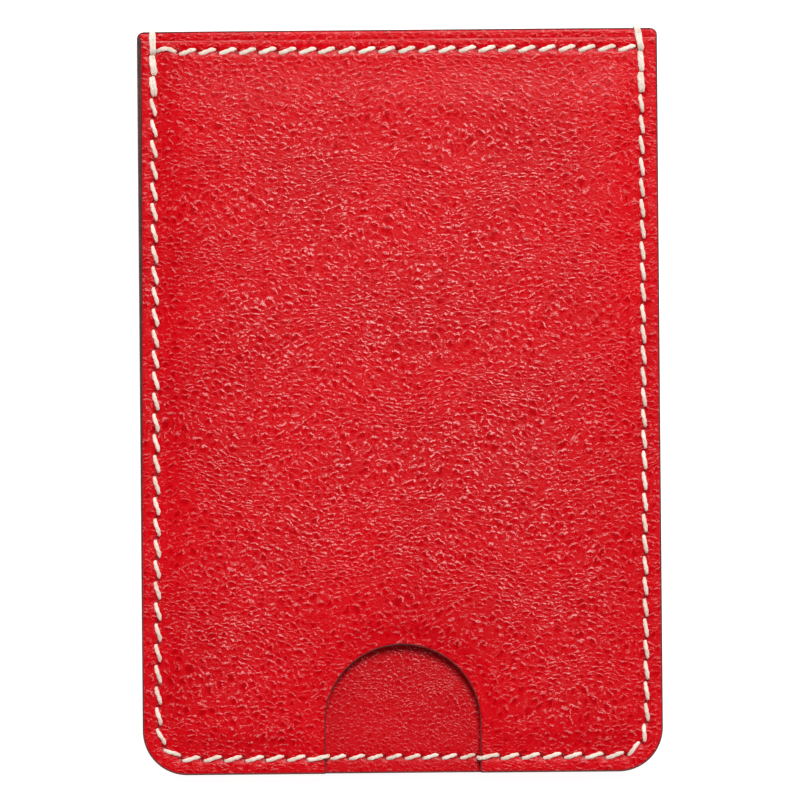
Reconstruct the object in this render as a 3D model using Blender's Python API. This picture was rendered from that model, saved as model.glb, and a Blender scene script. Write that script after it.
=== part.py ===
"""Card holder: a flat lined leather sleeve, sewn on three sides and open at the mouth.

The sleeve lies on its back. +X is to the right, +Y runs towards the mouth and +Z comes
out of the front panel, which has a thumb notch in its bottom edge. The origin is on the
surface that the sleeve lies on, below the middle of the whole object.

Each half is built outwards from the middle plane of the pocket, so a height below is a
distance from that plane: lining, stiffener, leather. The back half is the front half
turned over, without the notch.
"""
import math

import bmesh
import bpy
from mathutils import Matrix

# Overall sizes, in metres
WIDTH = 0.0700
LENGTH = 0.1000
CORNER_RADIUS = 0.0060
MOUTH_CORNER_RADIUS = 0.0009

# Thumb notch in the front panel: a half circle on two straight legs
NOTCH_RADIUS = 0.0104
NOTCH_LEG = 0.0069

# Layers of each half, and the free height of the pocket between the halves
LEATHER = 0.00080
LINING = 0.00050
STIFFENER = 0.00025
GLUE = 0.00005
POCKET = 0.0010

# The halves lie flat together along the seam, then rise to the plateau over the cards
SEAM_MARGIN = 0.0034
RAMP = 0.0040
RAMP_FACETS = 3
# The leather dips to the lining along the mouth, past the end of the stiffener
HEM_MARGIN = 0.0040
HEM_RAMP = 0.0020
HEM_FACETS = 2
STIFFENER_CLEARANCE = 0.0001

# Painted edges: a thin coat outside the cut edges of the leather and the lining
EDGE_PAINT = 0.00015
PAINT_GAP = 0.00002
PAINT_SPLIT = 0.0012
PANEL_INSET = EDGE_PAINT + PAINT_GAP

# Seam around the three closed sides
SEAM_INSET = 0.0022
SEAM_PITCH = 0.0028
SEAM_FIRST_HOLE = 0.0031
NOTCH_PITCH = 0.0025
NOTCH_HOLE_INSIDE = 0.00045
NOTCH_HOLE_OUTSIDE = 0.00255

# Rows of stitches along the mouth, one in each half
HEM_INSET = 0.0027
HEM_PITCH = 0.0027
HEM_TO_SEAM = 0.0009

# Thread: flat bars over the leather, joined by a bar through each hole
THREAD_WIDTH = 0.0006
POST_LENGTH = 0.0005
HOLE_CLEARANCE = 0.00005
RAIL_GAP = 0.00003
CREST = 0.00028
POST_SHOULDER = 0.00015
WRAP_GAP = 0.00005
WRAP_THICKNESS = 0.0005
WRAP_CHAMFER = 0.0004

# The inner bar of a mouth stitch lies in a groove pressed into the lining
INNER_RAIL = 0.00020
INNER_RAIL_GAP = 0.00002
GROOVE_DEPTH = 0.00027
GROOVE_CLEARANCE = 0.00007
GROOVE_END = 0.00040

# Drawing values
CORNER_STEPS = 6
MOUTH_CORNER_STEPS = 2
NOTCH_STEPS = 16
OVERCUT = 0.0010
FILL_SCALE = 1000.0
WELD = 0.0000001

# Values worked out from the sizes above
HALF_WIDTH = WIDTH / 2
BOTTOM = -(LENGTH + WRAP_GAP + WRAP_THICKNESS) / 2
MOUTH = BOTTOM + LENGTH
MARGIN_HEIGHT = GLUE / 2 + LINING + GLUE + LEATHER
PLATEAU_HEIGHT = POCKET / 2 + LINING + GLUE + STIFFENER + GLUE + LEATHER
HEM_LINE = MOUTH - HEM_INSET
HEM_END = HALF_WIDTH - SEAM_INSET - HEM_TO_SEAM
SEAM_RADIUS = CORNER_RADIUS - SEAM_INSET
SEAM_SIDE = LENGTH - CORNER_RADIUS
SEAM_HALF = SEAM_SIDE + SEAM_RADIUS * math.pi / 2 + HALF_WIDTH - CORNER_RADIUS

RED_LEATHER = ((0.62, 0.018, 0.024, 1.0), 0.45)
RED_LINING = ((0.50, 0.012, 0.018, 1.0), 0.55)
BOARD_GREY = ((0.35, 0.33, 0.30, 1.0), 0.85)
IVORY_THREAD = ((0.84, 0.78, 0.66, 1.0), 0.75)
BROWN_PAINT = ((0.055, 0.022, 0.018, 1.0), 0.40)


# ---------------------------------------------------------------- scene

def empty_scene():
    for old in list(bpy.data.objects):
        bpy.data.objects.remove(old)


def new_collection(name):
    collection = bpy.data.collections.new(name)
    bpy.context.scene.collection.children.link(collection)
    return collection


def new_material(name, finish):
    colour, roughness = finish
    material = bpy.data.materials.new(name)
    material.use_nodes = True
    shader = material.node_tree.nodes["Principled BSDF"]
    shader.inputs["Base Color"].default_value = colour
    shader.inputs["Roughness"].default_value = roughness
    shader.inputs["Metallic"].default_value = 0.0
    return material


def add_part(name, mesh, material):
    """A part of the card holder. Its heights count from the middle plane of the pocket."""
    part = bpy.data.objects.new(name, mesh)
    part.data.materials.append(material)
    part.location.z = PLATEAU_HEIGHT
    part.parent = frame
    parts.objects.link(part)
    return part


def add_cutter(name, mesh):
    cutter = bpy.data.objects.new(name, mesh)
    cutter.location.z = PLATEAU_HEIGHT
    cutter.hide_render = True
    cutter.display_type = "WIRE"
    cutters.objects.link(cutter)
    return cutter


def cut(part, cutter, operation="DIFFERENCE"):
    modifier = part.modifiers.new(cutter.name, "BOOLEAN")
    modifier.operation = operation
    modifier.solver = "EXACT"
    modifier.object = cutter


# ---------------------------------------------------------------- heights

def rise(distance, flat, ramp, facets):
    """0 on the flat margin, 1 past the ramp, and straight facets of a smooth curve between."""
    steps = min(max((distance - flat) / ramp, 0.0), 1.0) * facets
    facet = min(int(steps), facets - 1)
    low, high = [(step / facets) ** 2 * (3 - 2 * step / facets) for step in (facet, facet + 1)]
    return low + (high - low) * (steps - facet)


def pocket_rise(x, y):
    side = rise(HALF_WIDTH - abs(x), SEAM_MARGIN, RAMP, RAMP_FACETS)
    return side * rise(y - BOTTOM, SEAM_MARGIN, RAMP, RAMP_FACETS)


def lining_inner(x, y):
    return GLUE / 2 + (POCKET - GLUE) / 2 * pocket_rise(x, y)


def lining_outer(x, y):
    return lining_inner(x, y) + LINING


def leather_inner(x, y):
    over_stiffener = pocket_rise(x, y) * rise(MOUTH - y, HEM_MARGIN, HEM_RAMP, HEM_FACETS)
    return lining_outer(x, y) + GLUE + (STIFFENER + GLUE) * over_stiffener


def leather_outer(x, y):
    return leather_inner(x, y) + LEATHER


def ramp_stations(edge, inwards, flat, ramp, facets):
    """Where the facets of a ramp begin and end, measured inwards from an edge."""
    return [edge + inwards * (flat + ramp * step / facets) for step in range(facets + 1)]


def side_stations():
    left = ramp_stations(-HALF_WIDTH, 1, SEAM_MARGIN, RAMP, RAMP_FACETS)
    return left + [-x for x in reversed(left)]


def length_stations():
    bottom = ramp_stations(BOTTOM, 1, SEAM_MARGIN, RAMP, RAMP_FACETS)
    mouth = ramp_stations(MOUTH, -1, HEM_MARGIN, HEM_RAMP, HEM_FACETS)
    return bottom + mouth[::-1]


def with_stations(start, end):
    """The places from start to end, with every side station that lies between them."""
    return [start] + [x for x in side_stations() if start < x < end] + [end]


# ---------------------------------------------------------------- outlines

def arc(centre_x, centre_y, radius, start, end, steps):
    """Points on an arc, from one angle to another in degrees."""
    turns = [math.radians(start + (end - start) * step / steps) for step in range(steps + 1)]
    return [(centre_x + radius * math.cos(a), centre_y + radius * math.sin(a)) for a in turns]


def mirrored(path):
    """The path's mirror image across the middle line, in reverse order."""
    return [(-x, y) for x, y in reversed(path)]


def bottom_corner(inset):
    return arc(-HALF_WIDTH + CORNER_RADIUS, BOTTOM + CORNER_RADIUS, CORNER_RADIUS - inset,
               180, 270, CORNER_STEPS)


def mouth_corner(inset):
    return arc(-HALF_WIDTH + MOUTH_CORNER_RADIUS, MOUTH - MOUTH_CORNER_RADIUS,
               MOUTH_CORNER_RADIUS - inset, 180, 90, MOUTH_CORNER_STEPS)


def notch_curve(grow):
    """The half circle at the top of the notch, from its left leg to its right leg."""
    return arc(0, BOTTOM + NOTCH_LEG, NOTCH_RADIUS + grow, 180, 0, NOTCH_STEPS)


def panel_outline(inset, notch):
    """The closed outline of a panel, anticlockwise from its left bottom corner."""
    corner = bottom_corner(inset)
    opening = []
    if notch:
        legs = NOTCH_RADIUS + inset
        opening = [(-legs, BOTTOM + inset)] + notch_curve(inset) + [(legs, BOTTOM + inset)]
    mouth = mouth_corner(inset)[::-1]
    return corner + opening + mirrored(corner) + mirrored(mouth) + mouth


def band(path):
    """The outline of a coat of paint that follows a path, given as a function of its inset."""
    return path(0) + path(EDGE_PAINT)[::-1]


def side_path(inset):
    """Down the left side, along the bottom and up the right side."""
    half = [(-HALF_WIDTH + inset, MOUTH - PAINT_SPLIT)] + bottom_corner(inset)
    return half + mirrored(half)


def mouth_path(inset):
    """Up the left mouth corner, along the mouth and down the right corner."""
    left = [(-HALF_WIDTH + inset, MOUTH - PAINT_SPLIT + PAINT_GAP)] + mouth_corner(inset)
    across = [(x, MOUTH - inset) for x in side_stations()]
    return left + across + mirrored(left)


def notch_path(inset):
    """Up the left leg of the notch, round its top and down its right leg."""
    foot = BOTTOM + PANEL_INSET
    ramp = [y for y in length_stations() if foot < y < BOTTOM + NOTCH_LEG]
    leg = [(-NOTCH_RADIUS - inset, y) for y in [foot] + ramp]
    return leg + notch_curve(inset) + mirrored(leg)


# ---------------------------------------------------------------- meshes

def filled_mesh(name, outlines, depth):
    """The closed mesh of a flat outline with some depth. Further outlines are its openings.

    The curve is drawn large and the mesh scaled back, because a fill joins close points.
    """
    curve = bpy.data.curves.new(name, "CURVE")
    curve.dimensions = "2D"
    curve.fill_mode = "BOTH"
    curve.extrude = depth / 2 * FILL_SCALE
    for outline in outlines:
        spline = curve.splines.new("POLY")
        spline.use_cyclic_u = True
        spline.points.add(len(outline) - 1)
        for point, (x, y) in zip(spline.points, outline):
            point.co = (x * FILL_SCALE, y * FILL_SCALE, 0.0, 1.0)
    guide = bpy.data.objects.new(name, curve)
    bpy.context.scene.collection.objects.link(guide)
    evaluated = guide.evaluated_get(bpy.context.evaluated_depsgraph_get())
    mesh = bpy.data.meshes.new_from_object(evaluated)
    mesh.name = name
    bpy.data.objects.remove(guide)
    bpy.data.curves.remove(curve)
    mesh.transform(Matrix.Scale(1 / FILL_SCALE, 4))
    return welded(mesh)


def welded(mesh):
    """Join the mesh's caps to its sides, and turn its faces outwards."""
    bm = bmesh.new()
    bm.from_mesh(mesh)
    bmesh.ops.remove_doubles(bm, verts=bm.verts, dist=WELD)
    bmesh.ops.recalc_face_normals(bm, faces=bm.faces)
    bm.to_mesh(mesh)
    bm.free()
    return mesh


def reshaped(mesh, place):
    """Move each point of a mesh to the place that a function gives for it."""
    for vertex in mesh.vertices:
        vertex.co = place(*vertex.co)
    return welded(mesh)


def sheet_mesh(name, inner, outer, side):
    """A sheet of even thickness over the crown, larger than its panel all round."""
    xs = [-HALF_WIDTH - OVERCUT] + side_stations() + [HALF_WIDTH + OVERCUT]
    ys = [BOTTOM - OVERCUT] + length_stations() + [MOUTH + OVERCUT]
    bm = bmesh.new()
    bmesh.ops.create_grid(bm, x_segments=len(xs) - 1, y_segments=len(ys) - 1, size=1.0)
    bm.verts.ensure_lookup_table()
    for vertex in bm.verts:
        vertex.co = (xs[vertex.index % len(xs)], ys[vertex.index // len(xs)], 0.0)
    bmesh.ops.triangulate(bm, faces=bm.faces, quad_method="FIXED")
    lower = list(bm.verts)
    grown = bmesh.ops.extrude_face_region(bm, geom=bm.faces[:], use_keep_orig=True)
    upper = [item for item in grown["geom"] if isinstance(item, bmesh.types.BMVert)]
    for vertex in lower:
        vertex.co.z = side * inner(vertex.co.x, vertex.co.y)
    for vertex in upper:
        vertex.co.z = side * outer(vertex.co.x, vertex.co.y)
    bmesh.ops.recalc_face_normals(bm, faces=bm.faces)
    mesh = bpy.data.meshes.new(name)
    bm.to_mesh(mesh)
    bm.free()
    return mesh


def hole_mesh(name, places):
    """Upright square holes, longer than the sleeve is thick, each turned along its row."""
    length = POST_LENGTH + 2 * HOLE_CLEARANCE
    width = THREAD_WIDTH + 2 * HOLE_CLEARANCE
    size = Matrix.Diagonal((length, width, 4 * PLATEAU_HEIGHT, 1.0))
    bm = bmesh.new()
    for x, y, turn in places:
        place = Matrix.Translation((x, y, 0.0)) @ Matrix.Rotation(turn, 4, "Z")
        bmesh.ops.create_cube(bm, size=1.0, matrix=place @ size)
    mesh = bpy.data.meshes.new(name)
    bm.to_mesh(mesh)
    bm.free()
    return mesh


def ladder_mesh(name, rungs, holes, start, end):
    """A thread as a ladder: two long bars, and a post wherever it goes through a hole.

    Each rung is a place along the thread and four heights: the two edges of the lower bar
    and the two edges of the upper bar. Past the start and the end there is no window.
    """
    bm = bmesh.new()
    bmesh.ops.create_grid(bm, x_segments=len(rungs) - 1, y_segments=3, size=1.0)
    bm.verts.ensure_lookup_table()
    for vertex in bm.verts:
        place, heights = rungs[vertex.index % len(rungs)]
        vertex.co = (place, heights[vertex.index // len(rungs)], -THREAD_WIDTH / 2)
    windows = []
    for face in bm.faces:
        level = min(vertex.index // len(rungs) for vertex in face.verts)
        near, far = [edge(vertex.co.x for vertex in face.verts) for edge in (min, max)]
        inside = near > start - WELD and far < end + WELD
        if level == 1 and inside and not any(near < hole < far for hole in holes):
            windows.append(face)
    bmesh.ops.delete(bm, geom=windows, context="FACES")
    grown = bmesh.ops.extrude_face_region(bm, geom=bm.faces[:], use_keep_orig=True)
    for item in grown["geom"]:
        if isinstance(item, bmesh.types.BMVert):
            item.co.z = THREAD_WIDTH / 2
    mesh = bpy.data.meshes.new(name)
    bm.to_mesh(mesh)
    bm.free()
    return mesh


# ---------------------------------------------------------------- seam around three sides

def seam_frame(distance):
    """Place and outward direction on the seam line, measured from the left of the mouth."""
    if distance > SEAM_HALF:
        x, y, out_x, out_y = seam_frame(2 * SEAM_HALF - distance)
        return -x, y, -out_x, out_y
    if distance < SEAM_SIDE:
        return -HALF_WIDTH + SEAM_INSET, MOUTH - distance, -1.0, 0.0
    turn = math.pi + (distance - SEAM_SIDE) / SEAM_RADIUS
    if turn > 1.5 * math.pi:
        return distance - SEAM_HALF, BOTTOM + SEAM_INSET, 0.0, -1.0
    out_x, out_y = math.cos(turn), math.sin(turn)
    return (-HALF_WIDTH + CORNER_RADIUS + SEAM_RADIUS * out_x,
            BOTTOM + CORNER_RADIUS + SEAM_RADIUS * out_y, out_x, out_y)


def evenly(start, end, pitch):
    """Places from start to end with equal steps close to a pitch."""
    count = max(round((end - start) / pitch), 1)
    return [start + (end - start) * step / count for step in range(count + 1)]


def seam_holes():
    """Distances of the holes along the seam, with one hole on each side of a notch edge."""
    outside = SEAM_HALF - NOTCH_RADIUS - NOTCH_HOLE_OUTSIDE
    inside = SEAM_HALF - NOTCH_RADIUS + NOTCH_HOLE_INSIDE
    left = evenly(SEAM_FIRST_HOLE, outside, SEAM_PITCH)
    across = evenly(inside, 2 * SEAM_HALF - inside, NOTCH_PITCH)
    return left + across + [2 * SEAM_HALF - hole for hole in reversed(left)]


def seam_front(start, end):
    """Height of the surface under a stitch: the back lining in the notch, else the leather."""
    edge = NOTCH_RADIUS - NOTCH_HOLE_INSIDE / 2
    in_notch = abs(start - SEAM_HALF) < edge and abs(end - SEAM_HALF) < edge
    return -GLUE / 2 if in_notch else MARGIN_HEIGHT


def seam_rung(place, front, top=0.0):
    """A cross line of the seam thread: the edges of its back bar and of its front bar."""
    back = -MARGIN_HEIGHT
    return place, (back - CREST, back - RAIL_GAP, front + RAIL_GAP, max(front, top) + CREST)


def wrap_rung(place):
    """The rounded outside of the turns that go over the mouth edge."""
    height = MARGIN_HEIGHT + CREST - WRAP_CHAMFER
    return place, (-height, -height / 2, height / 2, height)


def seam_rungs():
    """The cross lines of the seam thread, with a tall post where it climbs the notch edge."""
    holes = seam_holes()
    post, full = POST_LENGTH / 2, 2 * SEAM_HALF
    wrap = WRAP_GAP + WRAP_THICKNESS
    rungs = [wrap_rung(-wrap), seam_rung(-WRAP_GAP, MARGIN_HEIGHT)]
    before = MARGIN_HEIGHT
    for start, end in zip(holes, holes[1:] + [full + WRAP_GAP + post]):
        front = seam_front(start, end)
        if front > before:
            rungs.append(seam_rung(start - post - POST_SHOULDER, before))
        rungs.append(seam_rung(start - post, before, front))
        rungs.append(seam_rung(start + post, front, before))
        if front < before:
            rungs.append(seam_rung(start + post + POST_SHOULDER, front))
        before = front
    return rungs + [seam_rung(full + WRAP_GAP, MARGIN_HEIGHT), wrap_rung(full + wrap)]


def seam_thread_mesh():
    def place(distance, height, across):
        x, y, out_x, out_y = seam_frame(distance)
        return x + across * out_x, y + across * out_y, height
    reach = 2 * SEAM_HALF + WRAP_GAP
    return reshaped(ladder_mesh("seam_thread", seam_rungs(), seam_holes(), -WRAP_GAP, reach), place)


def seam_hole_places():
    places = []
    for distance in seam_holes():
        x, y, out_x, out_y = seam_frame(distance)
        places.append((x, y, math.atan2(out_y, out_x) + math.pi / 2))
    return places


# ---------------------------------------------------------------- rows along the mouth

def hem_holes():
    return evenly(-HEM_END, HEM_END, HEM_PITCH)


def over_leather(xs, lift):
    return [(x, leather_outer(x, HEM_LINE) + lift) for x in xs]


def over_lining(xs, lift):
    return [(x, lining_inner(x, HEM_LINE) + lift) for x in xs]


def hem_rungs():
    """The cross lines of a mouth row's thread, at its posts and where the crown bends."""
    holes = hem_holes()
    posts = [hole + step for hole in holes for step in (-POST_LENGTH / 2, POST_LENGTH / 2)]
    bends = [x for x in side_stations() if min(abs(x - hole) for hole in holes) > POST_LENGTH]
    places = sorted(posts + [x for x in bends if holes[0] < x < holes[-1]])
    edges = (over_lining(places, INNER_RAIL_GAP), over_lining(places, INNER_RAIL_GAP + INNER_RAIL),
             over_leather(places, RAIL_GAP), over_leather(places, CREST))
    return [(points[0][0], [height for _, height in points]) for points in zip(*edges)]


def hem_thread_mesh(name, side):
    def place(x, height, across):
        return x, HEM_LINE + across, side * height
    rungs = hem_rungs()
    return reshaped(ladder_mesh(name, rungs, hem_holes(), rungs[0][0], rungs[-1][0]), place)


def groove_mesh(name, side):
    """The groove under a mouth row, open towards the pocket."""
    end = HEM_END + GROOVE_END
    xs = with_stations(-end, end)
    outline = over_lining(xs, -LINING) + over_lining(xs, GROOVE_DEPTH)[::-1]

    def place(x, height, across):
        return x, HEM_LINE + across, side * height
    return reshaped(filled_mesh(name, [outline], THREAD_WIDTH + 2 * GROOVE_CLEARANCE), place)


def hem_hole_places():
    return [(x, HEM_LINE, 0.0) for x in hem_holes()]


# ---------------------------------------------------------------- parts

def make_panel(name, material, heights, side, cut_outs):
    """A leather or a lining: a crowned sheet, trimmed to its outline and pierced for the thread."""
    panel = add_part(name, sheet_mesh(name, *heights, side), material)
    outline = panel_outline(PANEL_INSET, notch=side > 0)
    mesh = filled_mesh(name + "_outline", [outline], 4 * PLATEAU_HEIGHT)
    cut(panel, add_cutter(name + "_outline", mesh), "INTERSECT")
    for cutter in cut_outs:
        cut(panel, cutter)
    return panel


def make_stiffener(name, material, side):
    """A flat board under the plateau, inside the ramps and open at the notch."""
    edge = SEAM_MARGIN + RAMP + STIFFENER_CLEARANCE
    reach = HALF_WIDTH - edge
    low, high = BOTTOM + edge, MOUTH - HEM_MARGIN - HEM_RAMP - STIFFENER_CLEARANCE
    outline = [(-reach, low), (reach, low), (reach, high), (-reach, high)]
    middle = POCKET / 2 + LINING + GLUE + STIFFENER / 2

    def place(x, y, height):
        return x, y, height + side * middle
    board = add_part(name, reshaped(filled_mesh(name, [outline], STIFFENER), place), material)
    if side > 0:
        legs = NOTCH_RADIUS + PANEL_INSET
        foot = BOTTOM - OVERCUT
        notch = [(-legs, foot)] + notch_curve(PANEL_INSET) + [(legs, foot)]
        mesh = filled_mesh(name + "_notch", [notch], 4 * PLATEAU_HEIGHT)
        cut(board, add_cutter(name + "_notch", mesh))


def paint_mesh(name, path, side):
    """A coat of paint on the edge of one half, from its lining to its leather."""
    def place(x, y, level):
        height = leather_outer(x, y) if level > 0 else lining_inner(x, y)
        return x, y, side * height
    return reshaped(filled_mesh(name, [band(path)], LEATHER), place)


def make_outer_paint(material):
    """The coat around the three sewn sides, lower where the front panel is cut away."""
    name = "outer_edge_paint"
    mesh = filled_mesh(name, [band(side_path)], 2 * MARGIN_HEIGHT)
    paint = add_part(name, mesh, material)
    low, high = -GLUE / 2, MARGIN_HEIGHT + OVERCUT
    size = Matrix.Diagonal((2 * NOTCH_RADIUS, 4 * EDGE_PAINT, high - low, 1.0))
    place = Matrix.Translation((0.0, BOTTOM, (low + high) / 2))
    bm = bmesh.new()
    bmesh.ops.create_cube(bm, size=1.0, matrix=place @ size)
    gap = bpy.data.meshes.new(name + "_notch")
    bm.to_mesh(gap)
    bm.free()
    cut(paint, add_cutter(name + "_notch", gap))


def make_halves(leather, lining, board, thread):
    seam_holes_cutter = add_cutter("seam_holes", hole_mesh("seam_holes", seam_hole_places()))
    hem_holes_cutter = add_cutter("mouth_holes", hole_mesh("mouth_holes", hem_hole_places()))
    for half, side in (("front", 1), ("back", -1)):
        holes = [seam_holes_cutter, hem_holes_cutter]
        groove = add_cutter(half + "_groove", groove_mesh(half + "_groove", side))
        make_panel(half + "_leather", leather, (leather_inner, leather_outer), side, holes)
        make_stiffener(half + "_stiffener", board, side)
        make_panel(half + "_lining", lining, (lining_inner, lining_outer), side, holes + [groove])
        name = half + "_mouth_thread"
        add_part(name, hem_thread_mesh(name, side), thread)


def make_edge_paint(material):
    make_outer_paint(material)
    for name, path, side in (("front_mouth_edge_paint", mouth_path, 1),
                             ("back_mouth_edge_paint", mouth_path, -1),
                             ("notch_edge_paint", notch_path, 1)):
        add_part(name, paint_mesh(name, path, side), material)


empty_scene()
parts = new_collection("card_holder")
cutters = new_collection("card_holder_cutters")
frame = bpy.data.objects.new("card_holder_frame", None)
parts.objects.link(frame)

red_leather = new_material("red_leather", RED_LEATHER)
red_lining = new_material("red_lining", RED_LINING)
grey_board = new_material("grey_board", BOARD_GREY)
ivory_thread = new_material("ivory_thread", IVORY_THREAD)
brown_paint = new_material("brown_edge_paint", BROWN_PAINT)

make_halves(red_leather, red_lining, grey_board, ivory_thread)
add_part("seam_thread", seam_thread_mesh(), ivory_thread)
make_edge_paint(brown_paint)
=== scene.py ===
# %% [markdown]
# # A red leather card holder
# The holder is a flat sleeve of two lined leather panels. One waxed thread is sewn by hand
# around three sides, the top stays open, and a round notch at the bottom of the front lets a
# thumb push the cards up. The plain model of it is loaded first and is never changed. Each
# finished piece below is made around it, in the same place, and stands in for one of its parts.

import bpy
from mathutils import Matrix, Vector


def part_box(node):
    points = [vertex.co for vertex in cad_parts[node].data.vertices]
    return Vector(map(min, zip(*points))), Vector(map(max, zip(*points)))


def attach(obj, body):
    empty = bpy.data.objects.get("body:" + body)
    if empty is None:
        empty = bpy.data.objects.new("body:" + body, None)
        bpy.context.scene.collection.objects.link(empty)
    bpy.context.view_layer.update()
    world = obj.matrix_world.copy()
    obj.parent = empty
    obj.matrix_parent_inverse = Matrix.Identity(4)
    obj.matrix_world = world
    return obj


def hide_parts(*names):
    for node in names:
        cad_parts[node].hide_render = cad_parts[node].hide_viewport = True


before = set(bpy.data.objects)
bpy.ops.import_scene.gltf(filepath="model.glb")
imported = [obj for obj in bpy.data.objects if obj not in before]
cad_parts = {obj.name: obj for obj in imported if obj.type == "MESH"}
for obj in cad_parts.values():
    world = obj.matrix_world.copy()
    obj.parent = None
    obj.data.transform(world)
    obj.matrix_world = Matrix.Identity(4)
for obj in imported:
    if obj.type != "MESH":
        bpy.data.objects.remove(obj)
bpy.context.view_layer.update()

# %% [markdown]
# ## Sizes
# Leather work is measured in millimetres, so the shapes are worked out in millimetres and
# turned into metres when a mesh is made. The outline, the notch and the rows of stitches are
# read from the plain model, so they follow it if it changes. The thicknesses of the layers are
# written below. Heights are measured from the middle of the sleeve, because its front and its
# back have the same layers.

# %% Sizes read from the plain model
import math

import bpy
import numpy as np
from mathutils import Vector, noise
from mathutils.geometry import delaunay_2d_cdt

METRES = 0.001


def corners(node):
    """Lowest and highest corner of a part of the plain model, in millimetres."""
    low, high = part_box(node)
    return np.array(low) / METRES, np.array(high) / METRES


PAINT = 0.15
THREAD = 0.6
HALF_WIDTH = corners("outer_edge_paint")[1][0]
BOTTOM = corners("outer_edge_paint")[0][1]
MOUTH = corners("front_mouth_edge_paint")[1][1]
MIDDLE = corners("front_leather")[1][2] / 2
NOTCH = corners("notch_edge_paint")[1][0] - PAINT
NOTCH_TOP = corners("notch_edge_paint")[1][1] - PAINT
NOTCH_CENTRE = NOTCH_TOP - NOTCH
SEAM_INSET = HALF_WIDTH - corners("seam_thread")[1][0] + THREAD / 2
HEM = (corners("front_mouth_thread")[0][1] + corners("front_mouth_thread")[1][1]) / 2
print("half width", HALF_WIDTH, "bottom", BOTTOM, "mouth", MOUTH, "middle", MIDDLE)
print("notch", NOTCH, NOTCH_TOP, "seam inset", SEAM_INSET, "hem", HEM)

# %% Layers, from the pocket to the outside
POCKET = 0.5
LINING = 0.5
GLUE = 0.05
BOARD = 0.25
LEATHER = 0.8
CORNER = 6.0
MOUTH_CORNER = 0.9
CLOSED = GLUE / 2
SEWN_WIDTH = 2.9
PILLOW = 9.0
PILLOW_SOFTNESS = 0.4
PILLOW_FULLNESS = 2.2
LEAST_GAPE = 0.25
BOARD_SIDE_RAMP = (3.2, 5.8)
BOARD_MOUTH_RAMP = (4.0, 11.0)
BOARD_NOTCH_RAMP = (1.0, 3.5)

# %% [markdown]
# ## The shape of the sleeve
# Every layer follows one soft shape: flat where it is sewn, then rising like a thin pillow to
# the middle. Writing the shape as functions of a place on the panel, with arrays, lets all
# layers and all stitches follow each other with no sculpting. Their triangles differ in size,
# so between points two layers can still meet by a few hundredths of a millimetre.


# %% Distances and soft steps
def side_distance(x, y):
    """How far a place is inside the left, right and bottom edges."""
    across = np.abs(x) - (HALF_WIDTH - CORNER)
    down = BOTTOM + CORNER - y
    outside = np.hypot(np.maximum(across, 0), np.maximum(down, 0))
    return CORNER - outside - np.minimum(np.maximum(across, down), 0)


def notch_distance(x, y):
    """How far a place is outside the thumb notch."""
    return np.hypot(x, np.maximum(y - NOTCH_CENTRE, 0)) - NOTCH


def step(low, high, value):
    """0 below low, 1 above high, and a smooth change between them."""
    part = np.clip((value - low) / (high - low), 0, 1)
    return part * part * (3 - 2 * part)


def bump(value, width):
    """1 at zero, fading to nothing over about twice the width."""
    return np.exp(-(value / width) ** 2)


# %% Heights of the layers above the middle of the sleeve
def pillow(x, y):
    """0 where the panels are sewn, 1 in the middle."""
    inside = side_distance(x, y) - SEWN_WIDTH
    reach = np.clip((np.hypot(inside, PILLOW_SOFTNESS) + inside) / 2 / PILLOW, 0, 1)
    return 1 - (1 - reach) ** PILLOW_FULLNESS


def pocket_height(x, y):
    """Half of the gap between the linings: open at the mouth, nearly closed at the notch."""
    gape = LEAST_GAPE + (1 - LEAST_GAPE) * step(BOTTOM + 8, MOUTH - 25, y)
    return CLOSED + (POCKET - CLOSED) * pillow(x, y) * gape


def board_height(x, y, notched):
    """How much a board and its glue lift the leather, fading out before every edge."""
    thick = step(*BOARD_SIDE_RAMP, side_distance(x, y)) * step(*BOARD_MOUTH_RAMP, MOUTH - y)
    if notched:
        thick = thick * step(*BOARD_NOTCH_RAMP, notch_distance(x, y))
    return (BOARD + GLUE) * thick


def lining_top(x, y):
    return pocket_height(x, y) + LINING


def leather_bottom(x, y, notched):
    return lining_top(x, y) + GLUE + board_height(x, y, notched)


def leather_top(x, y, notched):
    return leather_bottom(x, y, notched) + LEATHER


print("middle", round(float(leather_top(0.0, 0.0, True)), 3),
      "sewn edge", round(float(leather_top(HALF_WIDTH - 1, 0.0, True)), 3))

# %% [markdown]
# ## Where the needle goes
# The seam runs down the left, along the bottom and up the right. Its holes are spaced evenly
# in each straight run, closer together inside the notch, with one hole on each side of each
# notch edge. A second, shorter row hems the mouth of each panel.

# %% Holes of the seam
SEAM_CORNER = CORNER - SEAM_INSET
SEAM_SIDE = MOUTH - BOTTOM - CORNER
SEAM_HALF = SEAM_SIDE + SEAM_CORNER * math.pi / 2 + HALF_WIDTH - CORNER
FIRST_HOLE, PITCH, NOTCH_PITCH = 3.1, 2.8, 2.5
INSIDE_EDGE, OUTSIDE_EDGE = 0.45, 2.55
HEM_PITCH, HEM_TO_SEAM = 2.7, 0.6


def seam_place(distance):
    """A place on the seam and its outward direction, by distance from the left mouth corner."""
    if distance > SEAM_HALF:
        x, y, out_x, out_y = seam_place(2 * SEAM_HALF - distance)
        return -x, y, -out_x, out_y
    if distance < SEAM_SIDE:
        return SEAM_INSET - HALF_WIDTH, MOUTH - distance, -1.0, 0.0
    turn = math.pi + (distance - SEAM_SIDE) / SEAM_CORNER
    if turn > 1.5 * math.pi:
        return distance - SEAM_HALF, BOTTOM + SEAM_INSET, 0.0, -1.0
    out_x, out_y = math.cos(turn), math.sin(turn)
    return (CORNER - HALF_WIDTH + SEAM_CORNER * out_x,
            BOTTOM + CORNER + SEAM_CORNER * out_y, out_x, out_y)


def evenly(start, end, pitch):
    return np.linspace(start, end, max(round((end - start) / pitch), 1) + 1)


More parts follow.
